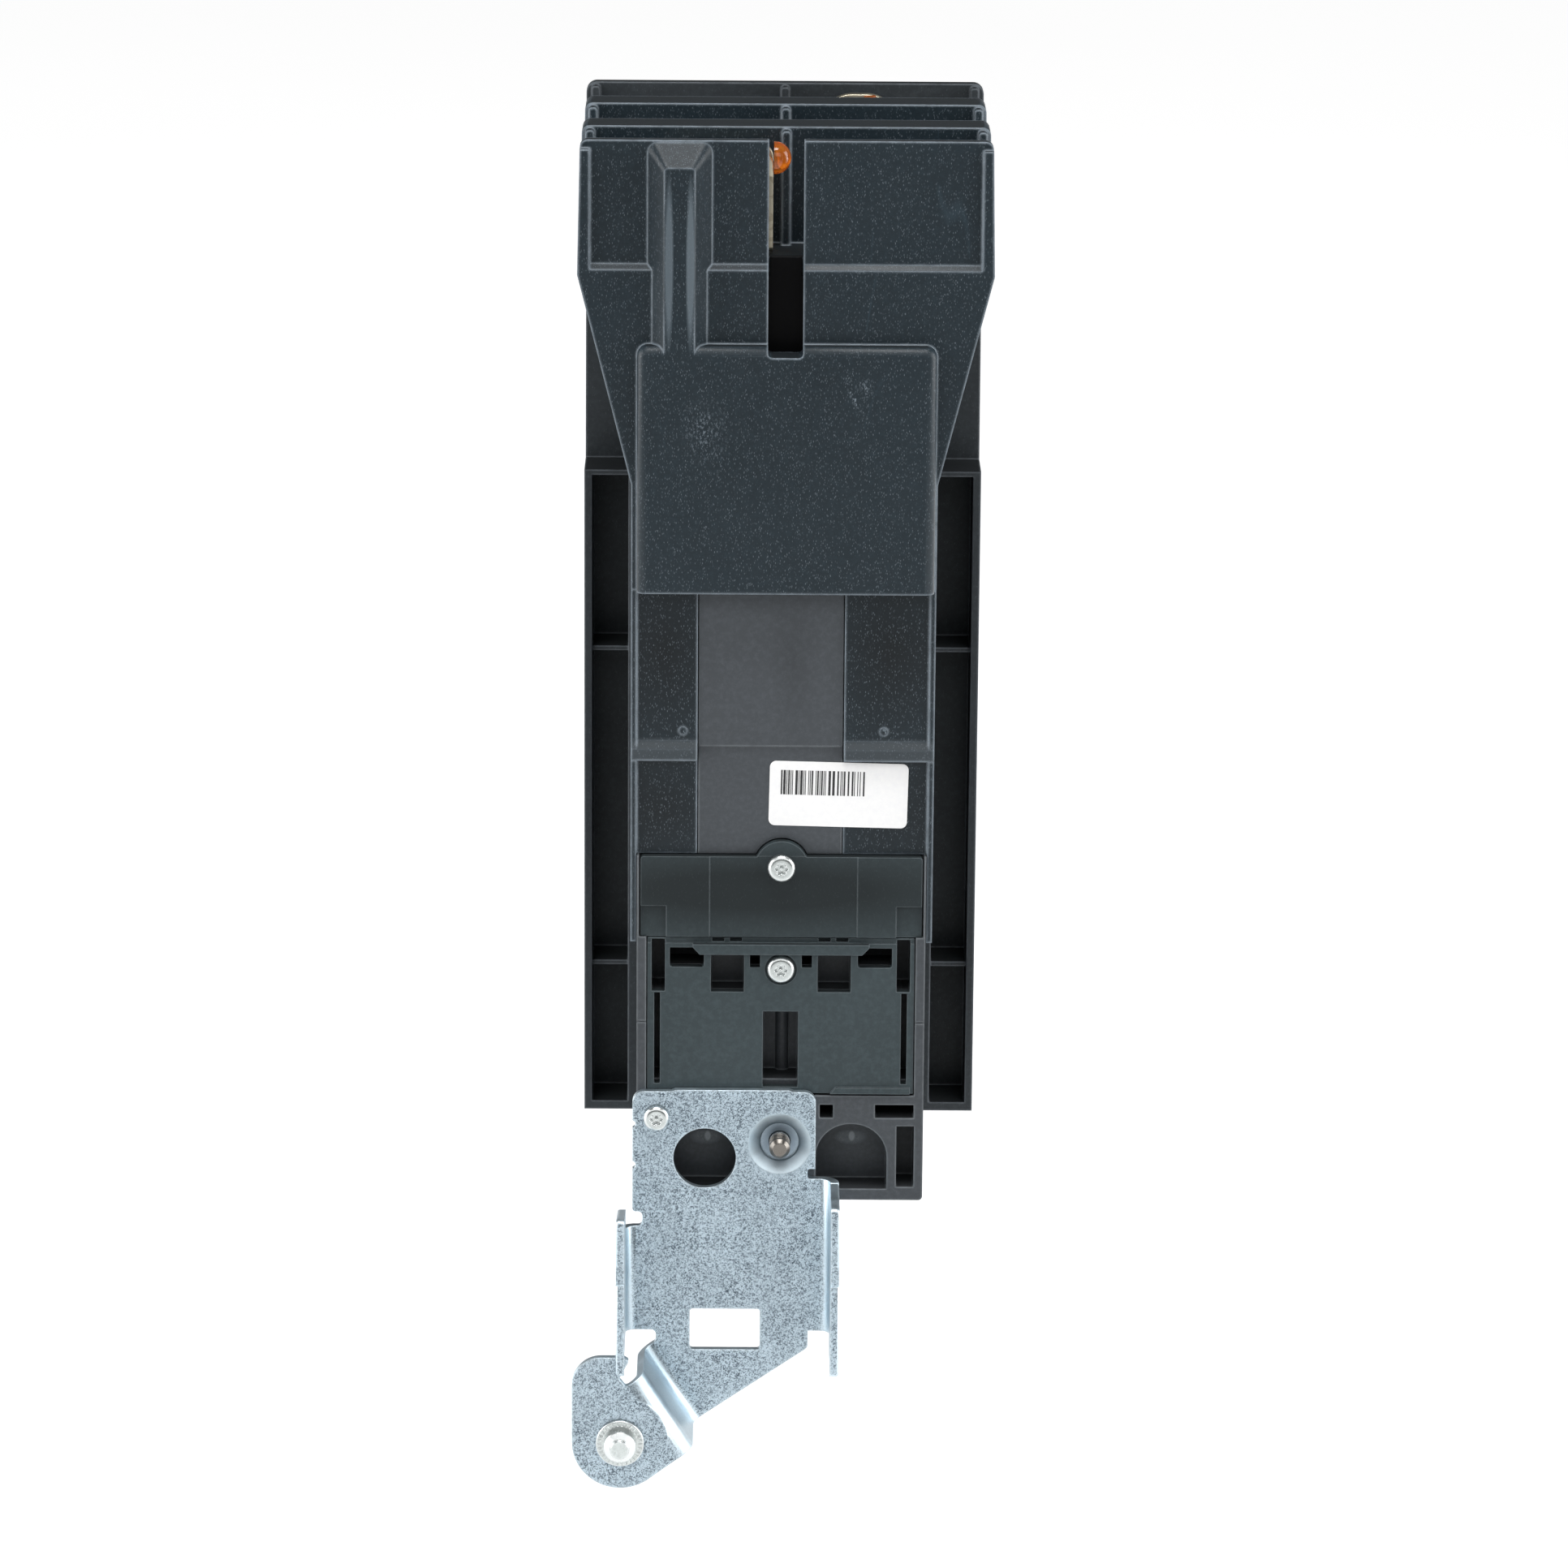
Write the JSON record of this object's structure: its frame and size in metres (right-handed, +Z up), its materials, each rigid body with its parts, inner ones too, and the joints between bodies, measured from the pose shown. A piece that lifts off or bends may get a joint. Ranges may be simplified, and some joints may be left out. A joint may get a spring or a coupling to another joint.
{
  "type": "plug-on molded-case air circuit breaker",
  "caption": "Two-pole moulded-case breaker with a tall bus-bar jaw head, side dead-front wings, a front toggle and a pressed-steel foot bracket.",
  "frame": {"origin": "on the foot screw's axis, in the seat face of the foot's collar", "axes": "+Z up towards the bus-bar jaws, +Y from the rear towards the toggle side, +X across the poles"},
  "size_m": [0.0769, 0.1155, 0.2531],
  "materials": {
    "glass_filled_thermoset": "matt, fine pale fibre speckle",
    "front_thermoset": "matt, fine pale fibre speckle",
    "case_thermoset": "smooth matt",
    "cover_thermoset": "smooth matt",
    "black_insulator": "smooth, slightly glossy",
    "black_toggle": "smooth matt",
    "red_button": "smooth matt",
    "zinc_sheet": "mottled bright zinc",
    "zinc_screw": "bright zinc",
    "plain_steel": "plain steel",
    "silvered_copper": "dull silver plate",
    "copper": "plain copper",
    "lug_aluminium": "tinned aluminium",
    "fibre_board": "pressed fibre board",
    "paper_label": "white paper",
    "amber_grease": "amber grease, wet"
  },
  "bodies": {
    "breaker": {"adaptor_housing": "glass_filled_thermoset", "slot_insulator": "black_insulator", "front_cover": "front_thermoset", "base_case": "case_thermoset", "rear_cover": "cover_thermoset", "rear_panel": "cover_thermoset", "base_cover": "case_thermoset", "mounting_bracket": "zinc_sheet", "foot_collar": "zinc_screw", "rear_screws": "zinc_screw", "bracket_screw": "zinc_screw", "mounting_screws": "zinc_screw", "case_screws": "zinc_screw", "fixed_contacts": "silvered_copper", "mechanism_frame": "plain_steel", "blank_label": "paper_label", "line_strap_left": "copper", "line_strap_right": "copper", "arc_chute_walls_left": "fibre_board", "arc_chute_walls_right": "fibre_board", "arc_plates_left": "plain_steel", "arc_plates_right": "plain_steel", "load_strap_left": "copper", "load_strap_right": "copper", "bimetal_left": "plain_steel", "bimetal_right": "plain_steel", "magnet_yoke_left": "plain_steel", "magnet_yoke_right": "plain_steel", "flexible_link_left": "copper", "flexible_link_right": "copper", "lug_body_left": "lug_aluminium", "lug_body_right": "lug_aluminium"},
    "foot_screw_body": {"foot_screw": "zinc_screw"},
    "toggle": {"toggle_handle": "black_toggle", "handle_yoke": "plain_steel", "toggle_pin": "plain_steel"},
    "contacts": {"contact_shaft": "black_toggle", "moving_arms": "copper"},
    "link": {"drive_link": "plain_steel"},
    "latch": {"latch_lever": "plain_steel"},
    "trip": {"trip_bar": "black_toggle"},
    "button": {"trip_button": "red_button", "button_spring": "plain_steel"},
    "armature_left_body": {"armature_left": "plain_steel"},
    "lug_screw_left_body": {"lug_screw_left": "zinc_screw"},
    "clamp_left": {"clamp_shoe_left": "plain_steel"},
    "finger_front_left": {"jaw_finger_front_left": "silvered_copper"},
    "finger_rear_left": {"jaw_finger_rear_left": "silvered_copper", "contact_grease_left": "amber_grease"},
    "armature_right_body": {"armature_right": "plain_steel"},
    "lug_screw_right_body": {"lug_screw_right": "zinc_screw"},
    "clamp_right": {"clamp_shoe_right": "plain_steel"},
    "finger_front_right": {"jaw_finger_front_right": "silvered_copper", "contact_grease_right": "amber_grease"},
    "finger_rear_right": {"jaw_finger_rear_right": "silvered_copper"}
  },
  "joints": [
    {"name": "foot_screw_turn", "type": "hinge", "parent": "breaker", "child": "foot_screw_body", "pos_m": [0, 0, 0], "axis": [0, -1, 0], "continuous": true},
    {"name": "toggle_throw", "type": "hinge", "parent": "breaker", "child": "toggle", "pos_m": [0.0297, 0.0684, 0.1144], "axis": [1, 0, 0], "range_deg": [0, 36]},
    {"name": "contact_swing", "type": "hinge", "parent": "breaker", "child": "contacts", "pos_m": [0.0297, 0.0424, 0.1264], "axis": [1, 0, 0], "range_deg": [0, 24]},
    {"name": "link_swing", "type": "hinge", "parent": "contacts", "child": "link", "pos_m": [0.0297, 0.0455, 0.14097], "axis": [1, 0, 0], "range_deg": [-24, 0]},
    {"name": "latch_swing", "type": "hinge", "parent": "breaker", "child": "latch", "pos_m": [0.0297, 0.0569, 0.1224], "axis": [1, 0, 0], "range_deg": [0, 8], "stiffness_Nm_per_rad": 0.05},
    {"name": "button_press", "type": "slide", "parent": "breaker", "child": "button", "axis": [0, -1, 0], "range_m": [0, 0.0025], "stiffness_N_per_m": 60, "springref_m": -0.002},
    {"name": "trip_bar_turn", "type": "hinge", "parent": "breaker", "child": "trip", "pos_m": [0.0297, 0.0564, 0.0884], "axis": [1, 0, 0], "range_deg": [-12, 0]},
    {"name": "armature_left_swing", "type": "hinge", "parent": "breaker", "child": "armature_left_body", "pos_m": [0.0162, 0.052, 0.0728], "axis": [1, 0, 0], "range_deg": [0, 10], "stiffness_Nm_per_rad": 0.005},
    {"name": "clamp_left_travel", "type": "slide", "parent": "breaker", "child": "clamp_left", "axis": [0, -1, 0], "range_m": [0, 0.005]},
    {"name": "lug_screw_left_turn", "type": "hinge", "parent": "clamp_left", "child": "lug_screw_left_body", "pos_m": [0.0162, 0.0584, 0.0524], "axis": [0, -1, 0], "range_deg": [0, 1440]},
    {"name": "finger_front_left_spread", "type": "hinge", "parent": "breaker", "child": "finger_front_left", "pos_m": [0.0162, 0.03225, 0.22375], "axis": [-1, 0, 0], "range_deg": [0, 2.5], "stiffness_Nm_per_rad": 0.5},
    {"name": "finger_rear_left_spread", "type": "hinge", "parent": "breaker", "child": "finger_rear_left", "pos_m": [0.0162, 0.02475, 0.22375], "axis": [1, 0, 0], "range_deg": [0, 2.5], "stiffness_Nm_per_rad": 0.5},
    {"name": "armature_right_swing", "type": "hinge", "parent": "breaker", "child": "armature_right_body", "pos_m": [0.0432, 0.052, 0.0728], "axis": [1, 0, 0], "range_deg": [0, 10], "stiffness_Nm_per_rad": 0.005},
    {"name": "clamp_right_travel", "type": "slide", "parent": "breaker", "child": "clamp_right", "axis": [0, -1, 0], "range_m": [0, 0.005]},
    {"name": "lug_screw_right_turn", "type": "hinge", "parent": "clamp_right", "child": "lug_screw_right_body", "pos_m": [0.0432, 0.0584, 0.0524], "axis": [0, -1, 0], "range_deg": [0, 1440]},
    {"name": "finger_front_right_spread", "type": "hinge", "parent": "breaker", "child": "finger_front_right", "pos_m": [0.0432, 0.08135, 0.22375], "axis": [-1, 0, 0], "range_deg": [0, 2.5], "stiffness_Nm_per_rad": 0.5},
    {"name": "finger_rear_right_spread", "type": "hinge", "parent": "breaker", "child": "finger_rear_right", "pos_m": [0.0432, 0.07385, 0.22375], "axis": [1, 0, 0], "range_deg": [0, 2.5], "stiffness_Nm_per_rad": 0.5}
  ],
  "couplings": [
    {"joint": "contact_swing", "follows": "toggle_throw", "ratio": 0.6666},
    {"joint": "link_swing", "follows": "toggle_throw", "ratio": -0.6666},
    {"joint": "trip_bar_turn", "follows": "button_press", "rad_per_m": -83},
    {"joint": "lug_screw_left_turn", "follows": "clamp_left_travel", "rad_per_m": 5026.5},
    {"joint": "finger_rear_left_spread", "follows": "finger_front_left_spread", "ratio": 1},
    {"joint": "lug_screw_right_turn", "follows": "clamp_right_travel", "rad_per_m": 5026.5},
    {"joint": "finger_rear_right_spread", "follows": "finger_front_right_spread", "ratio": 1}
  ]
}
